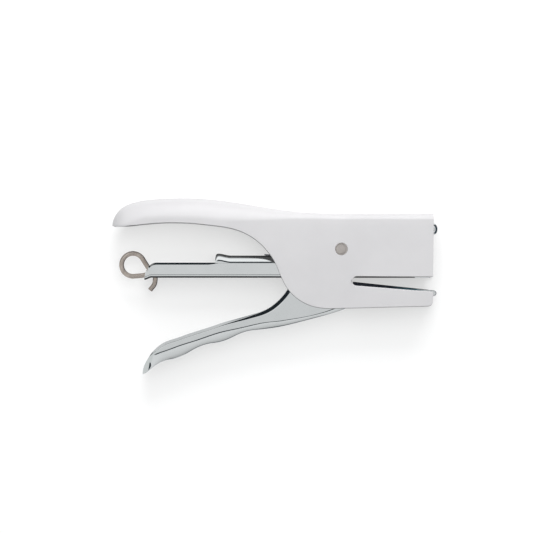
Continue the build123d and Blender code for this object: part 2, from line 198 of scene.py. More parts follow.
def grid(bm, rows, around=False, skip=lambda i, j: False):
    """Quads between rows of points. Returns the rows of vertices."""
    made = [[bm.verts.new(point) for point in row] for row in rows]
    for i in range(len(made) - 1):
        count = len(made[i])
        for j in range(count if around else count - 1):
            if not skip(i, j):
                k = (j + 1) % count
                bm.faces.new((made[i][j], made[i + 1][j], made[i + 1][k], made[i][k]))
    return made


def bridge(bm, first, second):
    """A strip of quads between two rows of vertices."""
    for i in range(len(first) - 1):
        bm.faces.new((first[i], first[i + 1], second[i + 1], second[i]))


def sheet(bm, outer_rows, inner_rows):
    """A bent sheet between an outer and an inner grid, closed along its rims and at its ends."""
    outer, inner = grid(bm, outer_rows), grid(bm, inner_rows)
    for row in (0, len(outer[0]) - 1):
        bridge(bm, [column[row] for column in outer], [column[row] for column in inner])
    for end in (0, -1):
        bridge(bm, outer[end], inner[end])


def plate(bm, outline, low, high):
    """A flat plate of the outline, in millimetres."""
    sides = []
    for z in (low, high):
        ring = [bm.verts.new(at(x, y, z)) for x, y in outline]
        bm.faces.new(ring)
        sides.append(ring)
    for i in range(len(outline)):
        j = (i + 1) % len(outline)
        bm.faces.new((sides[0][i], sides[0][j], sides[1][j], sides[1][i]))


def cut(thing, outlines):
    """Cuts straight openings, each given as (outline in x and y, lowest z, highest z)."""
    bm = bmesh.new()
    for outline, low, high in outlines:
        plate(bm, outline, low, high)
    bmesh.ops.recalc_face_normals(bm, faces=bm.faces)
    mesh = bpy.data.meshes.new("cutter")
    bm.to_mesh(mesh)
    bm.free()
    cutter = bpy.data.objects.new("cutter", mesh)
    bpy.context.scene.collection.objects.link(cutter)
    modifier = thing.modifiers.new("cut", "BOOLEAN")
    modifier.operation = "DIFFERENCE"
    modifier.solver = "EXACT"
    modifier.use_self = True
    modifier.object = cutter
    depsgraph = bpy.context.evaluated_depsgraph_get()
    changed = bpy.data.meshes.new_from_object(thing.evaluated_get(depsgraph))
    thing.modifiers.clear()
    thing.data = changed
    bpy.data.objects.remove(cutter)


def oblong(x0, x1, y0, y1):
    return [(x0, y0), (x1, y0), (x1, y1), (x0, y1)]


def rounding(thing, width, segments=2, limit=BEND):
    """Rounds the edges that turn by more than the limit, in degrees."""
    bevel = thing.modifiers.new("edges", "BEVEL")
    bevel.width = width * MM
    bevel.segments = segments
    bevel.limit_method = "ANGLE"
    bevel.angle_limit = radians(limit)
    bevel.harden_normals = True


def round_rims(thing, width, test):
    """Rounds the sharp edges whose middle passes the test. No short edge holds the width back."""
    bm = bmesh.new()
    bm.from_mesh(thing.data)
    weight = bm.edges.layers.float.new("bevel_weight_edge")
    for edge in bm.edges:
        middle = ((edge.verts[0].co + edge.verts[1].co) / 2 - PIN) / MM
        if len(edge.link_faces) == 2 and edge.calc_face_angle() > radians(RIM) and test(middle):
            edge[weight] = 1.0
    bm.to_mesh(thing.data)
    bm.free()
    bevel = thing.modifiers.new("rims", "BEVEL")
    bevel.width, bevel.segments = width * MM, 3
    bevel.limit_method = "WEIGHT"
    bevel.harden_normals = True
    bevel.use_clamp_overlap = False


def turned(bm, profile, centre, axis, count=64):
    """A turned solid. The profile is (distance along the axis, radius), in millimetres."""
    axis = Vector(axis).normalized()
    across = axis.orthogonal().normalized()
    other = axis.cross(across)
    rows = []
    for along, radius in profile:
        ring = []
        for i in range(count):
            turn = 2 * pi * i / count
            ring.append(centre + (axis * along + (across * cos(turn) + other * sin(turn)) * radius) * MM)
        rows.append(ring)
    made = grid(bm, rows, around=True)
    for ring in (made[0], made[-1]):
        bm.faces.new(ring)


def arc(cx, cy, radius, start, end, steps):
    """Points on an arc, from one angle in degrees to another."""
    angles = [radians(start + (end - start) * i / steps) for i in range(steps + 1)]
    return [(cx + radius * cos(a), cy + radius * sin(a)) for a in angles]


def tube(bm, points, radius, sides):
    """A round wire along the points, its ends a little rounded."""
    points = [Vector(p) for p in points]
    ways = []
    for i in range(len(points)):
        before, after = points[max(i - 1, 0)], points[min(i + 1, len(points) - 1)]
        ways.append((after - before).normalized())
    across = ways[0].orthogonal().normalized()
    rows = []
    for i, (point, way) in enumerate(zip(points, ways)):
        across = (across - way * across.dot(way)).normalized()
        other = way.cross(across)
        rings = [(0.0, 1.0)]
        if i == 0:
            rings = [(0.0, 0.0), (0.0, 0.7), (0.08, 0.9), (0.22, 1.0)]
        if i == len(points) - 1:
            rings = [(-0.22, 1.0), (-0.08, 0.9), (0.0, 0.7), (0.0, 0.0)]
        for along, share in rings:
            centre = point + way * along * radius * MM
            ring = []
            for k in range(sides):
                turn = 2 * pi * k / sides
                ring.append(centre + (across * cos(turn) + other * sin(turn)) * radius * share * MM)
            rows.append(ring)
    grid(bm, rows, around=True)


# ------------------------------------------------------------------ materials

class Shader:
    """A material's nodes, added one by one round its Principled shader."""

    def __init__(self, name, **values):
        self.material = bpy.data.materials.new(name)
        self.material.use_nodes = True
        self.nodes = self.material.node_tree.nodes
        self.links = self.material.node_tree.links
        self.surface = self.nodes["Principled BSDF"]
        for socket, value in values.items():
            self.surface.inputs[socket.replace("_", " ")].default_value = value
        self.place = self.add("ShaderNodeTexCoord").outputs["Object"]

    def add(self, kind, **values):
        node = self.nodes.new(kind)
        for name, value in values.items():
            if hasattr(node, name):
                setattr(node, name, value)
            else:
                node.inputs[name.replace("_", " ")].default_value = value
        return node

    def stretched(self, x, y, z):
        """Object coordinates scaled along each axis."""
        mapping = self.add("ShaderNodeMapping")
        mapping.inputs["Scale"].default_value = (x, y, z)
        self.links.new(self.place, mapping.inputs["Vector"])
        return mapping.outputs["Vector"]

    def noise(self, scale, detail=3.0, roughness=0.5, vector=None):
        node = self.add("ShaderNodeTexNoise", Scale=scale, Detail=detail, Roughness=roughness)
        self.links.new(vector or self.place, node.inputs["Vector"])
        return node.outputs["Fac"]

    def spread(self, value, low, high, to_low, to_high):
        """The value, stretched from one range to another and held inside it."""
        node = self.add("ShaderNodeMapRange", clamp=True)
        for name, number in (("From Min", low), ("From Max", high), ("To Min", to_low), ("To Max", to_high)):
            node.inputs[name].default_value = number
        self.links.new(value, node.inputs["Value"])
        return node.outputs["Result"]

    def edges(self):
        """How sharp the surface is here: high on worn outer edges, low in corners."""
        return self.add("ShaderNodeNewGeometry").outputs["Pointiness"]

    def facing(self, way, low, high):
        """How nearly the surface faces a way, from 0 at the low product with its normal to 1 at the high."""
        product = self.add("ShaderNodeVectorMath", operation="DOT_PRODUCT")
        self.links.new(self.add("ShaderNodeNewGeometry").outputs["Normal"], product.inputs[0])
        product.inputs[1].default_value = way
        return self.spread(product.outputs["Value"], low, high, 0, 1)

    def colours(self, factor, first, second):
        node = self.add("ShaderNodeMix", data_type="RGBA")
        self.links.new(factor, node.inputs[0])
        for socket, value in ((node.inputs[6], first), (node.inputs[7], second)):
            if isinstance(value, bpy.types.NodeSocket):
                self.links.new(value, socket)
            else:
                socket.default_value = (*value, 1)
        return node.outputs[2]

    def use(self, socket, value):
        self.links.new(value, self.surface.inputs[socket])

    def bump(self, *layers):
        """Surface relief from (height, depth in millimetres) layers."""
        normal = None
        for height, depth in layers:
            node = self.add("ShaderNodeBump", Strength=1.0)
            node.inputs["Distance"].default_value = depth * MM
            self.links.new(height, node.inputs["Height"])
            if normal:
                self.links.new(normal, node.inputs["Normal"])
            normal = node.outputs["Normal"]
        self.use("Normal", normal)


def white_paint():
    """Powder coat: a faint orange peel, small cloudy tone changes, a few rubbed places,
    and dark grey painted as shade on rims that look down and to the rear, away from the lamps."""
    paint = Shader("white_paint", Metallic=0.0, IOR=1.5)
    paint.surface.inputs["Coat Weight"].default_value = 0.25
    paint.surface.inputs["Coat Roughness"].default_value = 0.22
    cloud = paint.noise(35, 4, 0.6)
    speck = paint.noise(2600, 2, 0.5)
    tone = paint.colours(paint.spread(cloud, 0.35, 0.65, 0, 1), (0.472, 0.465, 0.474), (0.497, 0.490, 0.498))
    tone = paint.colours(paint.spread(speck, 0.66, 0.76, 0, 0.25), tone, (0.42, 0.41, 0.42))
    worn = paint.spread(paint.edges(), 0.56, 0.68, 0, 0.35)
    tone = paint.colours(worn, tone, (0.54, 0.54, 0.54))
    # painted shade: rims that look down and to the rear are darkened towards dark grey
    painted_shade_rim = paint.facing((-0.45, -1.0, 0.0), 0.25, 0.75)
    tone = paint.colours(painted_shade_rim, tone, (0.17, 0.17, 0.17))
    paint.use("Base Color", tone)
    paint.use("Roughness", paint.spread(paint.noise(60, 5, 0.6), 0.3, 0.7, 0.36, 0.50))
    peel = paint.noise(900, 2, 0.45)
    paint.bump((peel, 0.012), (paint.noise(4200, 2, 0.5), 0.003))
    return paint.material


def plated(name, colour, dull, rough=(0.06, 0.14), along=(1, 1, 1), bump=0.002, patches=0.3, under=None):
    """Plated or bare metal: drawn or polished streaks, duller patches and fine scratches.
    Under is a darker colour painted as shade on the faces that look down, away from the lamps."""
    metal = Shader(name, Metallic=1.0)
    streak = metal.noise(600, 4, 0.65, metal.stretched(*along))
    cloud = metal.noise(90, 5, 0.6)
    tone = metal.colours(metal.spread(cloud, 0.4, 0.7, 0, patches), colour, dull)
    tone = metal.colours(metal.spread(streak, 0.55, 0.75, 0, patches * 0.6), tone, dull)
    # painted shade: faces that look down are darkened towards the under colour
    if under:
        tone = metal.colours(metal.facing((0.0, -1.0, 0.0), 0.55, 0.68), tone, under)
    metal.use("Base Color", tone)
    scratch = metal.add("ShaderNodeTexVoronoi", feature="DISTANCE_TO_EDGE", Scale=160)
    metal.links.new(metal.stretched(1.0, 6.0, 1.0), scratch.inputs["Vector"])
    lines = metal.spread(scratch.outputs["Distance"], 0.0, 0.012, 1, 0)
    wear = metal.spread(metal.noise(25, 3, 0.5), 0.5, 0.62, 0, 1)
    product = metal.add("ShaderNodeMath", operation="MULTIPLY")
    metal.links.new(lines, product.inputs[0])
    metal.links.new(wear, product.inputs[1])
    base = metal.spread(cloud, 0.35, 0.7, *rough)
    total = metal.add("ShaderNodeMath", operation="MULTIPLY_ADD")
    metal.links.new(product.outputs[0], total.inputs[0])
    total.inputs[1].default_value = 0.10
    metal.links.new(base, total.inputs[2])
    metal.use("Roughness", total.outputs[0])
    metal.bump((streak, bump), (metal.noise(140, 2, 0.5), bump * 2.5))
    return metal.material


PAINT = white_paint()
CHROME = plated("chrome_plate", (0.79, 0.81, 0.81), (0.69, 0.72, 0.72), (0.05, 0.11), (1, 3, 1), 0.0012)
# the nickel's faces that look down get painted shade
NICKEL = plated("nickel_plate", (0.83, 0.85, 0.85), (0.71, 0.74, 0.74), (0.05, 0.11), (0.12, 4, 1), 0.0014,
                under=(0.10, 0.10, 0.11))
WIRE = plated("wire_nickel", (0.60, 0.53, 0.48), (0.38, 0.32, 0.28), (0.13, 0.26), (1, 1, 1), 0.004, 0.8)
RIVET = plated("rivet_steel", (0.62, 0.57, 0.54), (0.47, 0.42, 0.39), (0.26, 0.40), (1, 1, 1), 0.004, 0.7)
ZINC = plated("zinc_steel", (0.58, 0.60, 0.62), (0.44, 0.46, 0.48), (0.24, 0.38), (1, 1, 1), 0.004, 0.7)
SPRING = plated("spring_steel", (0.22, 0.22, 0.24), (0.13, 0.13, 0.15), (0.24, 0.36), (1, 1, 1), 0.003, 0.7)
ANVIL = plated("anvil_steel", (0.62, 0.64, 0.64), (0.45, 0.48, 0.49), (0.14, 0.26), (5, 0.4, 1), 0.003, 0.5)


def throat_shaded_strip():
    """The steel of anvil and jaw, with light and shade painted in: black as painted shade inside the throat,
    then a blue-green tint, then a painted highlight that makes it bright at the mouth.
    """
    steel = Shader("throat_shaded_strip", Metallic=1.0)
    split = steel.add("ShaderNodeSeparateXYZ")
    steel.links.new(steel.place, split.inputs[0])
    rear, middle, front = (at(x, 0).x for x in (24.0, 36.0, 41.5))
    along = split.outputs["X"]
    throat_shade, tint, bright = (0.02, 0.022, 0.03), (0.06, 0.13, 0.16), (0.80, 0.82, 0.82)
    # painted shade: black at the rear inside the throat; painted highlight: bright towards the mouth
    tone = steel.colours(steel.spread(along, rear, middle, 0, 1), throat_shade, tint)
    tone = steel.colours(steel.spread(along, middle, front, 0, 1), tone, bright)
    streak = steel.noise(500, 4, 0.6, steel.stretched(4, 0.5, 1))
    tone = steel.colours(steel.spread(streak, 0.5, 0.8, 0, 0.25), tone, (0.16, 0.17, 0.18))
    steel.use("Base Color", tone)
    steel.use("Roughness", steel.spread(steel.noise(90, 4, 0.6), 0.35, 0.7, 0.16, 0.28))
    steel.bump((streak, 0.003))
    return steel.material


THROAT_SHADED_STEEL = throat_shaded_strip()

FINISH = {
    "main_pin": RIVET, "pin_sleeve": ZINC, "jaw_bridge": THROAT_SHADED_STEEL, "anvil_plate": THROAT_SHADED_STEEL, "anvil_rivets": RIVET,
    "nose_pin": RIVET, "spring_bridge": ZINC, "bridge_rivets": RIVET, "magazine_head": NICKEL,
    "spring_cup": ZINC, "hammer_block": ZINC, "driver_blade": ANVIL, "driver_bracket": ZINC,
    "rod_collar": ZINC, "rod_stop": ZINC, "spring_seat": ZINC, "pusher_head": ZINC,
    "body_shell": PAINT, "lever": CHROME, "leaf_spring": SPRING, "coil_spring": SPRING,
    "pusher_spring": SPRING, "magazine_channel": NICKEL, "magazine_cover": NICKEL, "hammer_rivet": CHROME,
    "pull_ring_rod": WIRE,
}
for node, material in FINISH.items():
    mesh = frame["nodes"][node].data
    mesh.materials.clear()
    mesh.materials.append(material)


# ------------------------------------------------------------------ painted body

CREST = [
    (-112.3, 11.2, 91), (-106.3, 20.9, 28), (-94.0, 24.1, 5), (-78.0, 24.8, 0), (-60.0, 23.8, -7),
    (-44.7, 21.5, -10), (-24.4, 18.4, -6.5), (-5.0, 17.2, 0), (45.0, 17.2, 0),
]
UNDERSIDE = [
    (-112.3, 11.2, -5), (-101.8, 11.35, 7), (-84.0, 12.7, 0), (-68.9, 12.0, -7), (-50.2, 8.8, -20),
    (-37.5, 0.25, -49), (-31.6, -8.6, -67), (-26.1, -19.9, -53), (-15.6, -27.7, -20), (-5.0, -29.3, 0),
    (41.3, -28.2, 1), (44.8, -25.3, 80),
]
BODY_TIES = [
    ((-112.3, 11.2), (-112.3, 11.2)), ((-94.0, 24.1), (-97.5, 11.9)), ((-60.0, 23.8), (-62.0, 11.0)),
    ((-40.0, 20.9), (-44.5, 6.0)), ((-28.0, 18.8), (-36.0, -1.5)), ((-20.0, 17.8), (-30.8, -11.0)),
    ((-13.0, 17.35), (-25.6, -20.5)), ((-8.0, 17.2), (-18.0, -26.7)), ((-2.0, 17.2), (-5.0, -29.3)),
]
HALF, SHEET = 9.0, 1.2
BODY_REAR, BODY_TAPER, BODY_THINNEST = -112.3, 11.0, 0.30
HEAD_START, HEAD_TOP, HEAD_FRONT = -2.0, 17.2, 44.8
HEAD_SLANT = 0.4
CORNER, CORNER_RISE = 2.5, 2.4
CORNER_START = HEAD_FRONT - CORNER

# Where the soft rounding of the handle changes to the tighter one of the head, and how far it reaches
# down the side and across the top at those two places.
ROUND_CHANGE, ROUND_DOWN, ROUND_ACROSS = (-62, -10), (10.0, 2.9), (7.9, 2.4)
ROLL = tilted([(1.8, 2, 20), (4.6, 20, 36), (2.4, 36, 58), (1.2, 58, 72)], 3)

# The slot between the jaws: rounded at its inner end, then straight to the mouth.
THROAT, THROAT_Y, THROAT_R = 5.3, -15.75, 2.2
THROAT_STRAIGHT = THROAT + THROAT_R
THROAT_FALL_TOP, THROAT_FALL_LOW = 0.25, 3.0
THROAT_SHARE = 0.293
LOW_ROWS, SIDE_ROWS = 6, 11
RIVET_HOLE = 3.12


def throat_edge(x, side, fall):
    """The slot's upper edge (side 1) or lower edge (side -1), which falls by so much to the mouth."""
    if x < THROAT_STRAIGHT:
        return THROAT_Y + side * sqrt(max(THROAT_R**2 - (THROAT_STRAIGHT - x)**2, 0))
    return THROAT_Y + side * THROAT_R - fall * (x - THROAT_STRAIGHT) / (HEAD_FRONT - THROAT_STRAIGHT)


def jaw_bottom(x):
    """The head's lower edge, with the rounded front corner."""
    straight = -29.3 + 1.1 * (x + 5) / 46.3
    u = max(x - CORNER_START, 0) / CORNER
    return straight + CORNER_RISE * (1 - sqrt(max(1 - u * u, 0)))


def body_columns():
    """(crest point, lower point, throat's lower edge, throat's upper edge) along the body."""
    columns = []
    for top, low in ruled(flow(CREST), flow(UNDERSIDE), BODY_TIES, 150):
        middle = low.lerp(top, THROAT_SHARE)
        columns.append((top, low, middle, middle))
    solid = THROAT - HEAD_START
    xs = [HEAD_START + solid * i / 6 for i in range(1, 6)]
    xs += [THROAT + THROAT_R * (1 - cos(radians(a))) for a in (0, 8, 18, 30, 42, 54, 66, 78, 90)]
    xs += [THROAT_STRAIGHT + (CORNER_START - THROAT_STRAIGHT) * i / 16 for i in range(1, 17)]
    xs += [CORNER_START + CORNER * sin(radians(a)) for a in (15, 30, 45, 60, 72, 82, 90)]
    for x in xs:
        top = Vector((x + HEAD_SLANT * max(x, 0) / HEAD_FRONT, HEAD_TOP))
        if x > THROAT + 1e-6:
            low_edge = Vector((x, throat_edge(x, -1, THROAT_FALL_LOW)))
            top_edge = Vector((x, throat_edge(x, 1, THROAT_FALL_TOP)))
            columns.append((top, Vector((x, jaw_bottom(x))), low_edge, top_edge))
            continue
        low_x = x - 3.0 * (1 - (x - HEAD_START) / solid)
        low = Vector((low_x, jaw_bottom(low_x)))
        middle = Vector((x, THROAT_Y)) if x > THROAT - 1e-6 else low.lerp(top, THROAT_SHARE)
        columns.append((top, low, middle, middle))
    return columns


def body_section(column, inward):
    """One U section of the sheet, on its outer face or, with inward, its inner one."""
    top, low, gap_low, gap_top = column
    way = top - low
    height = way.length
    way = way.normalized() if height > 1e-6 else Vector((1, 0))
    half = HALF - inward
    round_down = max(min(ease(top.x, *ROUND_CHANGE, *ROUND_DOWN), height * 0.92) - inward * 0.7, 0.0)
    round_across = max(ease(top.x, *ROUND_CHANGE, *ROUND_ACROSS) - inward * 0.7, 0.8)
    reach = max(height - inward, 0.0)
    low_gap, high_gap = (gap_low - low).length, (gap_top - low).length
    high_gap = min(high_gap, max(reach - round_down, 0))
    low_gap = min(low_gap, high_gap)
    rows = [(low_gap * i / (LOW_ROWS - 1), half) for i in range(LOW_ROWS)]
    side = reach - round_down - high_gap
    rows += [(high_gap + side * i / (SIDE_ROWS - 1), half) for i in range(SIDE_ROWS)]
    for distance, drop in ROLL[1:]:
        share = distance / ROLL[-1][0]
        rows.append((reach - round_down * (1 - share), half - round_across * drop / ROLL[-1][1]))
    flat = half - round_across
    rows += [(reach, flat * (1 - i / 3)) for i in range(1, 4)]
    rows += [(d, -z) for d, z in reversed(rows[:-1])]
    points = []
    for d, z in rows:
        spot = low + way * d
        if height <= 1e-6:
            spot = low + Vector((inward, 0))
        width = max(nose(spot.x, BODY_REAR + inward, BODY_TAPER), BODY_THINNEST)
        points.append(at(spot.x, spot.y, z * width))
    return points


def make_body():
    columns = body_columns()
    outer_rows = [body_section(c, 0.0) for c in columns]
    inner_rows = [body_section(c, SHEET) for c in columns]
    count = len(outer_rows[0])
    gaps = (LOW_ROWS - 1, count - LOW_ROWS - 1)
    bm = bmesh.new()
    outer = grid(bm, outer_rows, skip=lambda i, j: j in gaps)
    inner = grid(bm, inner_rows, skip=lambda i, j: j in gaps)
    for row in (0, count - 1):
        bridge(bm, [c[row] for c in outer], [c[row] for c in inner])
    opening = [i for i, c in enumerate(columns) if (c[3] - c[2]).length > 1e-4]
    first = opening[0] - 1
    for row in (gaps[0], gaps[0] + 1, gaps[1], gaps[1] + 1):
        bridge(bm, [c[row] for c in outer[first:]], [c[row] for c in inner[first:]])
    for end in (0, -1):
        for j in range(count - 1):
            if j not in gaps:
                bm.faces.new((outer[end][j], outer[end][j + 1], inner[end][j + 1], inner[end][j]))
    body = piece("painted_body", bm, "body", PAINT)
    hole = arc(0, 0, RIVET_HOLE, 0, 360, 56)[:-1]
    cut(body, [(hole, 6.5, 9.6), (hole, -9.6, -6.5)])
    round_rims(body, 0.4, lambda spot: -109 < spot.x < 44 and spot.length > 10 and abs(spot.z) > 8.5)
    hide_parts("body_shell")


# ------------------------------------------------------------------ lever

LEVER_TOP = [
    (-97.5, -61.2, 88), (-94.0, -52.6, 57), (-88.4, -46.8, 34), (-78.5, -43.0, 21), (-60.7, -37.1, 20),
    (-46.0, -32.8, 17), (-34.1, -28.2, 36), (-26.1, -19.7, 58), (-15.0, -5.6, 44), (-6.3, 1.6, 31),
]
LEVER_BOTTOM = [
    (-97.3, -61.6, 20), (-91.0, -57.3, 36), (-83.5, -54.35, 8), (-73.0, -50.0, 32), (-62.4, -46.35, 4),
    (-52.4, -43.1, 29), (-42.4, -39.9, 4), (-27.0, -37.7, 13), (-13.0, -34.0, 15), (1.0, -29.9, 20),
    (4.2, -26.0, 85), (5.0, -12.0, 88),
]
CREASE = [
    (-97.5, -54.6, 28), (-93.4, -52.4, 28), (-82.2, -48.1, 22), (-71.6, -44.6, 18), (-61.0, -41.0, 17),
    (-50.4, -38.6, 12), (-39.7, -36.2, 11), (-29.1, -34.9, 9), (-15.0, -32.5, 13), (-2.7, -28.6, 24),
    (1.6, -26.5, 50), (3.6, -12.0, 88),
]
LEVER_TIES = [
    ((-97.5, -61.2), (-97.3, -61.6)), ((-93.6, -52.0), (-92.6, -58.5)), ((-88.4, -46.8), (-84.0, -54.4)),
    ((-60.7, -37.1), (-57.0, -45.2)), ((-34.1, -28.2), (-27.5, -37.8)), ((-26.1, -19.7), (-12.5, -33.9)),
    ((-15.0, -5.6), (-2.5, -31.0)), ((-6.3, 1.6), (5.0, -12.0)),
]
LEVER_HALF, LEVER_SHEET = 7.5, 1.2
LEVER_REAR, LEVER_TAPER, LEVER_BLUNT, LEVER_THINNEST = -97.6, 9.0, 2.1, 0.12
LEVER_ROOM = 6.85
CROSS_PIN, CROSS_EYE, PIVOT_EYE = (36.0, 8.5), 4.0, 6.5


def crossing(a, b, line):
    """Where the straight run from a to b first meets a line of points, as a share of the run."""
    way = b - a
    best = None
    for p, q in zip(line, line[1:]):
        edge = q - p
        cross = way.x * edge.y - way.y * edge.x
        if abs(cross) < 1e-9:
            continue
        gap = p - a
        t = (gap.x * edge.y - gap.y * edge.x) / cross
        s = (gap.x * way.y - gap.y * way.x) / cross
        if -1e-6 <= s <= 1 + 1e-6 and -0.05 <= t <= 1.05 and (best is None or t < best):
            best = t
    return best


def lever_section(top, low, crease, inward):
    """One section of the lever's channel, from its rolled edge round the crown and back up.
    The tilts, in degrees, set what each stretch of the chrome mirrors: 38 to 43 is the dark band
    that widens towards the head, and everything is flatter at the rear tip."""
    way = low - top
    height = way.length
    way = way.normalized() if height > 1e-6 else Vector((0, -1))
    share = crossing(top, low, crease)
    fold = max(height * min(max(share if share is not None else 0.0, 0.0), 0.96), 0.05)
    roll = min(ease(top.x, -60, -40, 1.5, 2.0), fold * 0.6)
    dark = ease(top.x, -64, -34, 0.01, 0.98)
    tame = ease(top.x, -96, -87, 0, 1)
    half = LEVER_HALF - inward
    depth = height - min(inward, height * 0.4) - fold

    bend, rest = roll * 0.12, roll * 0.88
    mild = 20 + 13.5 * tame
    edge = tilted([(bend, 18 + 12 * tame, 20 + 13 * tame), (rest * dark, 38, 43),
                   (rest * (1 - dark), mild, mild + 2)])
    rows = [(roll - d, half - drop * (0.8 if inward else 1.0)) for d, drop in reversed(edge)]
    rows += [(roll + (fold - roll) * share, half) for share in (0.03, 0.2, 0.4, 0.6, 0.8, 0.97, 1.0)]
    start = min(0.8, depth * 0.3)
    first, later = ease(top.x, -94, -89, 20, 12), 20 + 8 * tame
    crown = tilted([(start, first, 20), (depth * 0.6 - start, 20, later),
                    (depth * 0.3, later, 24 + 17 * tame)])
    rows += [(fold + d, half - drop) for d, drop in crown[1:]]
    reach = half - crown[-1][1]
    for i in range(1, 9):
        turn = radians(90 * i / 8)
        rows.append((fold + depth * (0.9 + 0.1 * sin(turn)), reach * cos(turn)))
    rows += [(d, -z) for d, z in reversed(rows[:-1])]
    points = []
    for d, z in rows:
        spot = top + way * d
        width = max(nose(spot.x, LEVER_REAR + inward * 0.5, LEVER_TAPER, LEVER_BLUNT), LEVER_THINNEST)
        points.append(at(spot.x, spot.y, z * width))
    return points


def make_lever():
    crease = flow(CREASE)
    pairs = ruled(flow(LEVER_TOP), flow(LEVER_BOTTOM), LEVER_TIES, 190)
    outer_rows = [lever_section(top, low, crease, 0.0) for top, low in pairs]
    inner_rows = [lever_section(top, low, crease, LEVER_SHEET) for top, low in pairs]
    bm = bmesh.new()
    sheet(bm, outer_rows, inner_rows)
    grip = piece("lever_grip", bm, "lever", CHROME)
    cut(grip, [(oblong(-24, 9, -19.5, 4), -LEVER_ROOM, LEVER_ROOM)])
    rounding(grip, 0.25, 3, RIM)
    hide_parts("lever")

    x, y = CROSS_PIN
    lean = degrees(atan2(y, x))
    spread = 90 - degrees(asin((PIVOT_EYE - CROSS_EYE) / hypot(x, y)))
    outline = arc(x, y, CROSS_EYE, lean - spread, lean + spread, 20)
    outline += arc(0, 0, PIVOT_EYE, lean + spread, lean - spread + 360, 30)
    inside = LEVER_HALF - LEVER_SHEET
    bm = bmesh.new()
    for low, high in ((inside, LEVER_HALF), (-LEVER_HALF, -inside)):
        plate(bm, outline, low, high)
    piece("lever_arms", bm, "lever", CHROME, bevel=0.2, smooth=False)


# ------------------------------------------------------------------ magazine

MAGAZINE_HALF, MAGAZINE_FRONT = 6.0, 40.9
RAIL_REAR, RAIL_ROUND, RAIL_LOW, RAIL_SHEET = -96.4, 6.2, -14.1, 1.0
LID_REAR, LID_FLAT, LID_LOW, LID_SHEET = -60.1, -54.0, -7.0, 0.9
LIP_TOP, LIP_RISE, LIP_OUT, LID_TOP = -2.3, 1.5, 1.6, -3.25


def channel_top(x):
    """The height of the channel's walls, which round off at the rear."""
    u = min(max((x - RAIL_REAR) / RAIL_ROUND, 0), 1)
    return -14.3 + 7.6 * (1 - (1 - u)**2.3)**(1 / 1.7)


def channel_low(x):
    """The channel's floor, which dips a little at the rear."""
    return RAIL_LOW - ease(-x, 93.2, -RAIL_REAR, 0, 1.05)


def make_channel():
    full = RAIL_REAR + RAIL_ROUND
    xs = [RAIL_REAR + RAIL_ROUND * (i / 16)**1.6 for i in range(17)]
    xs += [full + (MAGAZINE_FRONT - full) * i / 26 for i in range(1, 27)]
    layers = []
    for inward in (0.0, RAIL_SHEET):
        rows = []
        for x in xs:
            top, low = channel_top(x), channel_low(x) + inward
            half = MAGAZINE_HALF - inward
            tall = max(top - low, 0.05)
            edge = min(1.0 if x < -61 else 0.35, tall * 0.2)
            size = min(1.0, tall / 2.2)
            flat = low + 1.6 * size
            wall = [(top, half - edge * 0.81 * (1 - inward * 0.5)), (top - edge, half)]
            wall += [(top - edge + (flat - top + edge) * i / 6, half) for i in range(1, 7)]
            corner = tilted([(0.30 * size, 12, 19), (0.50 * size, 20, 34), (0.80 * size, 41, 48)])
            wall += [(flat - d, half - drop) for d, drop in corner[1:]]
            reach = wall[-1][1]
            wall += [(low, reach * (1 - i / 4)) for i in range(1, 5)]
            wall += [(y, -z) for y, z in reversed(wall[:-1])]
            rows.append([at(x, y, z) for y, z in wall])
        layers.append(rows)
    bm = bmesh.new()
    sheet(bm, *layers)
    ear = [(8.0, -6.9), (5.0, 0.0)] + arc(0, 0, 5.0, 0, 180, 24)[1:-1] + [(-5.0, 0.0), (-8.0, -6.9)]
    for low, high in ((5.0, 6.0), (-6.0, -5.0)):
        plate(bm, ear, low, high)
    channel = piece("magazine_rail", bm, "magazine", NICKEL)
    cut(channel, [(oblong(-92.8, -89.8, -17, -12), -1.5, 4.9), (oblong(-99, -92.7, -17, -12), 0.7, 4.9)])
    rounding(channel, 0.22, 2, RIM)
    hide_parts("magazine_channel")


def cover_top(x):
    """The lid's upper line: a turned-up lip at the rear, then flat."""
    if x < LID_REAR:
        return LIP_TOP - LIP_RISE + LIP_RISE * sqrt(max(1 - ((LID_REAR - x) / LIP_OUT)**2, 0))
    return ease(x, LID_REAR, LID_FLAT, LIP_TOP, LID_TOP)


def make_cover():
    """The lid, a sheet whose sides are domed, with a turned-up lip at the rear."""
    xs = [LID_REAR - LIP_OUT * cos(radians(a)) for a in (0, 12, 25, 40, 55, 70, 82, 90)]
    xs += [LID_REAR + (LID_FLAT - LID_REAR) * i / 12 for i in range(1, 13)]
    xs += [LID_FLAT + (MAGAZINE_FRONT - LID_FLAT) * i / 20 for i in range(1, 21)]
    layers = []
    for inward in (0.0, LID_SHEET):
        rows = []
        for x in xs:
            top, low = cover_top(x) - inward * 0.8, LID_LOW
            half = MAGAZINE_HALF - inward
            size = min(1.0, (top - low) / 3.75)
            flat = top - 3.73 * size
            wall = [(low + (flat - low) * i / 3, half) for i in range(4)]
            dome = tilted([(0.85 * size, 12.5, 18.5), (1.70 * size, 20, 35), (1.18 * size, 38, 47)])
            wall += [(flat + d, half - drop) for d, drop in dome[1:]]
            reach = wall[-1][1]
            wall += [(top, reach * (1 - i / 4)) for i in range(1, 5)]
            wall += [(y, -z) for y, z in reversed(wall[:-1])]
            rows.append([at(x, y, z) for y, z in wall])
        layers.append(rows)
    bm = bmesh.new()
    sheet(bm, *layers)
    cover = piece("magazine_lid", bm, "magazine", NICKEL, bevel=0.12)
    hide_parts("magazine_cover")


# ------------------------------------------------------------------ wire, springs and rivets

RING = Vector((-102.2, -7.8))
RING_R, WIRE_R, ROD_Y, ROD_FRONT = 5.6, 1.2, -10.2, 39.6
RING_LEAN, HOOK_RISE, KNEE = 32, 4, 1.9


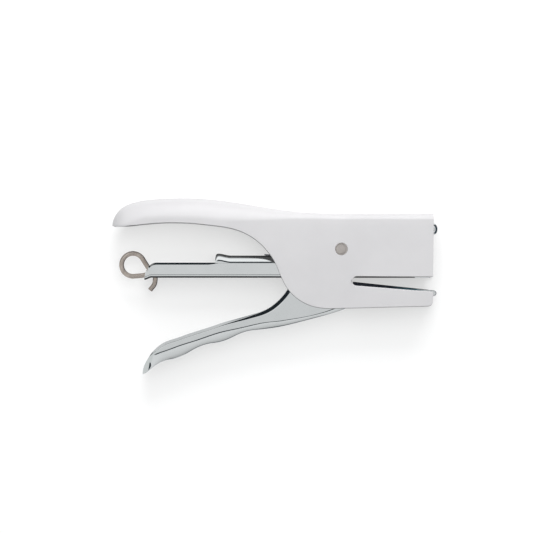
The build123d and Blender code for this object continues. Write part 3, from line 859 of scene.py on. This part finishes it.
def make_rod():
    """One bent wire: the long rod, the pull ring and the hook that latches under the magazine."""
    lean, rise = radians(RING_LEAN), radians(HOOK_RISE)
    touch = RING + Vector((cos(lean), sin(lean))) * RING_R
    knee = Vector((touch.x + (touch.y - ROD_Y) * tan(lean), ROD_Y))
    leave = RING + Vector((sin(rise), -cos(rise))) * RING_R
    slope = Vector((sin(lean), -cos(lean)))
    climb = RING_LEAN + 90
    bend = knee - slope * KNEE
    route = flow([(ROD_FRONT, ROD_Y, 180), (knee.x + KNEE, ROD_Y, 180)], 30)
    route += flow([(knee.x + KNEE, ROD_Y, 180), (bend.x, bend.y, climb)], 10)[1:]
    route += flow([(bend.x, bend.y, climb), (touch.x, touch.y, climb)], 6)[1:]
    route += [Vector(p) for p in arc(RING.x, RING.y, RING_R, RING_LEAN, 270 + HOOK_RISE, 44)[1:]]
    route += flow([(leave.x, leave.y, HOOK_RISE), (-97.2, -13.0, 7), (-92.8, -11.7, 4), (-91.2, -13.6, -88),
                   (-91.4, -16.4, -98), (-93.9, -20.3, -125)], 10)[1:]
    bm = bmesh.new()
    tube(bm, [at(p.x, p.y) for p in route], WIRE_R, 24)
    rod = piece("pull_wire", bm, "rod", WIRE)
    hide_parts("pull_ring_rod")


# Each coil's wire radius, coil radius, turns, and the room left at each end.
PUSHER_COIL = (0.3, 2.2, 34, 0.3)
RETURN_COIL = (0.5, 3.4, 6, 0.5)


def helix(start, axis, length, radius, turns, steps=22):
    """Points of a spring's wire whose end turns lie close and flat."""
    axis = Vector(axis)
    across = axis.orthogonal().normalized()
    other = axis.cross(across)
    points = []
    total = int(turns * steps)
    flat = 0.8 / turns
    for i in range(total + 1):
        share = i / total
        turn = 2 * pi * turns * share
        along = min(max((share - flat) / (1 - 2 * flat), 0), 1)
        along = along * 0.96 + 0.04 * share
        out = (across * cos(turn) + other * sin(turn)) * radius
        points.append(start + (axis * along * length + out) * MM)
    return points


def make_springs():
    low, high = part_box("pusher_spring")
    length = (high.x - low.x) / MM
    start = Vector((low.x, (low.y + high.y) / 2, (low.z + high.z) / 2))
    wire, radius, turns, room = PUSHER_COIL
    bm = bmesh.new()
    tube(bm, helix(start + Vector((room * MM, 0, 0)), (1, 0, 0), length - 2 * room, radius, turns), wire, 10)
    push = piece("pusher_coil", bm, "carriage", SPRING)
    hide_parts("pusher_spring")
    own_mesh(push)

    low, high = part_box("coil_spring")
    tall = (high.y - low.y) / MM
    start = Vector(((low.x + high.x) / 2, low.y, (low.z + high.z) / 2))
    wire, radius, turns, room = RETURN_COIL
    bm = bmesh.new()
    tube(bm, helix(start + Vector((0, room * MM, 0)), (0, 1, 0), tall - 2 * room, radius, turns), wire, 12)
    lift = piece("return_coil", bm, "magazine", SPRING)
    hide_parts("coil_spring")
    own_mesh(lift)


def make_leaf():
    """The hairpin leaf round the sleeve, one end on the magazine's lid and one inside the body's top."""
    thick, half, radius = 0.65, 3.5, 2.975
    low = [(-37.6, -2.80, -6), (-35.6, -2.95, -2), (-33.0, -radius, 0), (0.0, -radius, 0)]
    high = [(0.0, radius, 180), (-9.0, 5.6, 153), (-20.0, 14.2, 150), (-24.5, 16.2, 172)]
    line = [(p.x, p.y) for p in flow(low)] + arc(0, 0, radius, -90, 90, 18)[1:-1]
    line += [(p.x, p.y) for p in flow(high)]
    bm = bmesh.new()
    rows = []
    for i, (x, y) in enumerate(line):
        a, b = Vector(line[max(i - 1, 0)]), Vector(line[min(i + 1, len(line) - 1)])
        way = (b - a).normalized()
        side = Vector((-way.y, way.x)) * thick / 2
        rows.append([at(x + side.x, y + side.y, -half), at(x + side.x, y + side.y, half),
                     at(x - side.x, y - side.y, half), at(x - side.x, y - side.y, -half)])
    made = grid(bm, rows, around=True)
    bm.faces.new(made[0])
    bm.faces.new(made[-1])
    leaf = piece("opening_leaf", bm, "body", SPRING, bevel=0.12)
    leaf.parent = None
    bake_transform(leaf)
    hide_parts("leaf_spring")


def make_rivets():
    """The pivot's rivet with a low groove round the middle of each head, and the driver's domed one."""
    shank = 2.0
    head = [(6.0, shank), (8.0, shank), (8.62, 2.85), (8.78, 3.02), (8.90, 3.05), (8.95, 2.92), (8.90, 2.62),
            (8.86, 2.45), (8.92, 2.25), (8.95, 1.6), (8.95, 0.8), (8.93, 0.25)]
    bm = bmesh.new()
    for side in (1, -1):
        turned(bm, head, at(0, 0), (0, 0, side), 72)
    turned(bm, [(along, shank) for along in (-6.2, -6.0, 6.0, 6.2)], at(0, 0), (0, 0, 1), 48)
    pin = piece("pivot_rivet", bm, "body", RIVET)
    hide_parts("main_pin")

    dome_x, dome_r, dome_rise = 45.35, 2.93, 2.1
    dome = [(39.1, 1.2), (39.1, 2.2), (39.2, 2.4), (39.95, 2.4), (39.95, 1.6), (45.05, 1.6), (45.05, 2.75),
            (45.12, 2.9), (dome_x, dome_r)]
    for angle in (12, 24, 36, 48, 60, 72, 82, 88):
        dome.append((dome_x + dome_rise * sin(radians(angle)), dome_r * cos(radians(angle))))
    bm = bmesh.new()
    turned(bm, dome, at(0, 9.7), (1, 0, 0), 56)
    rivet = piece("front_rivet", bm, "driver", CHROME)
    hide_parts("hammer_rivet")


make_body()
make_lever()
make_channel()
make_cover()
make_rod()
make_springs()
make_leaf()
make_rivets()


# ------------------------------------------------------------------ studio

def floor_material():
    """A pale table that glows a little, so that the deep gaps between the handles stay pale too."""
    paper = Shader("white_table", Metallic=0.0)
    tone = paper.colours(paper.noise(9, 3, 0.5), (0.44, 0.44, 0.44), (0.46, 0.46, 0.46))
    paper.use("Base Color", tone)
    paper.surface.inputs["Emission Color"].default_value = (1.0, 0.998, 0.994, 1)
    paper.surface.inputs["Emission Strength"].default_value = 0.52
    paper.surface.inputs["Roughness"].default_value = 0.85
    paper.surface.inputs["Specular IOR Level"].default_value = 0.15
    return paper.material


def make_floor():
    """The floor just below the model. The bright metal doesn't mirror it."""
    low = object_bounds()[0]
    bm = bmesh.new()
    bmesh.ops.create_grid(bm, x_segments=2, y_segments=2, size=3.0)
    mesh = bpy.data.meshes.new("studio_floor")
    bm.to_mesh(mesh)
    bm.free()
    floor = bpy.data.objects.new("studio_floor", mesh)
    floor.location = (0, 0, low.z - 0.0001)
    mesh.materials.append(floor_material())
    floor.visible_glossy = False
    bpy.context.scene.collection.objects.link(floor)


def lamp(name, place, aim, size, power, size_y=None):
    """A soft area light that the metal doesn't mirror."""
    light = bpy.data.lights.new(name, "AREA")
    light.energy = power
    light.shape = "RECTANGLE"
    light.size, light.size_y = size, size_y or size
    thing = bpy.data.objects.new(name, light)
    thing.location = place
    thing.rotation_euler = (aim - place).to_track_quat("-Z", "Y").to_euler()
    thing.visible_glossy = False
    bpy.context.scene.collection.objects.link(thing)


# The tones that the bright metal mirrors, as (height of the direction, tone) from below to overhead.
LOWER_SIDE = [(-0.30, 0.80), (-0.22, 0.04), (0.12, 0.04), (0.17, 0.45), (0.35, 0.60), (0.79, 0.82)]
UPPER_SIDE = [(-0.30, 0.80), (-0.22, 0.02), (0.28, 0.02), (0.31, 0.66), (0.43, 0.67), (0.45, 0.97),
              (0.79, 1.0)]
FRONT_SIDE = [(-0.95, 0.80), (-0.80, 0.06), (0.20, 0.06), (0.40, 0.75)]
OVERHEAD = [(0.81, 0.03), (0.90, 0.03), (0.92, 0.70)]
REAR, SEEN = (0.70, 0.72, 0.72, 1), (0.92, 0.92, 0.92, 1)


def make_world():
    """Studio surroundings for the bright metal, a card on each side of the model. Beside the handles
    it is dark round the horizon and pale above it, then comes a thin dark gap and a pale patch overhead.
    At the mouth the dark part reaches further down, and at the rear everything is pale.
    The camera itself sees one pale tone."""
    world = bpy.data.worlds.new("studio")
    bpy.context.scene.world = world
    world.use_nodes = True
    nodes, links = world.node_tree.nodes, world.node_tree.links
    where = nodes.new("ShaderNodeTexCoord").outputs["Generated"]
    split = nodes.new("ShaderNodeSeparateXYZ")
    links.new(where, split.inputs[0])
    height = nodes.new("ShaderNodeMapRange")
    height.inputs["From Min"].default_value = -1.0
    links.new(split.outputs["Z"], height.inputs["Value"])

    def card(stops):
        """The tones of one side. The dark ones are a little blue."""
        ramp = nodes.new("ShaderNodeValToRGB")
        links.new(height.outputs["Result"], ramp.inputs[0])
        for _ in stops[2:]:
            ramp.color_ramp.elements.new(0.5)
        for element, (z, value) in zip(ramp.color_ramp.elements, stops):
            element.position = (z + 1) / 2
            cool = 0.25 if value < 0.1 else 0.01
            element.color = (value * (1 - cool), value, value * (1 + cool), 1)
        return ramp.outputs["Color"]

    def towards(way, near, far):
        """Rises from 0 to 1 while a direction's product with the way goes from near to far."""
        lean = nodes.new("ShaderNodeVectorMath")
        lean.operation = "DOT_PRODUCT"
        links.new(where, lean.inputs[0])
        lean.inputs[1].default_value = way
        share = nodes.new("ShaderNodeMapRange")
        share.interpolation_type = "SMOOTHSTEP"
        share.inputs["From Min"].default_value, share.inputs["From Max"].default_value = near, far
        links.new(lean.outputs["Value"], share.inputs["Value"])
        return share.outputs["Result"]

    def mixed(factor, first, second):
        """The first colour, with the second over it by the factor."""
        mix = nodes.new("ShaderNodeMix")
        mix.data_type = "RGBA"
        links.new(factor, mix.inputs[0])
        links.new(first, mix.inputs[6])
        if isinstance(second, tuple):
            mix.inputs[7].default_value = second
        else:
            links.new(second, mix.inputs[7])
        return mix.outputs[2]

    colour = card(LOWER_SIDE + OVERHEAD)
    colour = mixed(towards((0.1, 1.0, 0.0), 0.08, 0.30), colour, card(UPPER_SIDE + OVERHEAD))
    colour = mixed(towards((1.0, 0.0, 0.0), 0.42, 0.60), colour, card(FRONT_SIDE))
    colour = mixed(towards((-0.9, 0.0, 1.0), 1.03, 1.08), colour, REAR)
    colour = mixed(towards((-1.0, -0.6, 0.0), 0.75, 0.90), colour, REAR)
    rays = nodes.new("ShaderNodeLightPath")
    colour = mixed(rays.outputs["Is Camera Ray"], colour, SEEN)
    links.new(colour, nodes["Background"].inputs["Color"])
    nodes["Background"].inputs["Strength"].default_value = 1.0


def make_camera():
    """Straight above the model. The picture is so many millimetres wide at mid height."""
    lens = bpy.data.cameras.new("camera")
    lens.sensor_width = 36.0
    lens.lens = 250.0
    lens.clip_start = 0.05
    thing = bpy.data.objects.new("camera", lens)
    centre_x, centre_y, width = -36.6, -8.6, 261.2
    thing.location = at(centre_x, centre_y, 4.5 + width * lens.lens / lens.sensor_width)
    thing.rotation_euler = (0, 0, 0)
    bpy.context.scene.collection.objects.link(thing)
    bpy.context.scene.camera = thing


make_floor()
make_world()
lamp("key", at(0, 180, 660), at(-20, 0), 0.5, 1.9)
lamp("side", at(40, 600, 330), at(-20, 0), 0.6, 5.0, 0.4)
make_camera()
bpy.context.scene.view_settings.view_transform = "Standard"
bpy.context.scene.view_settings.look = "None"
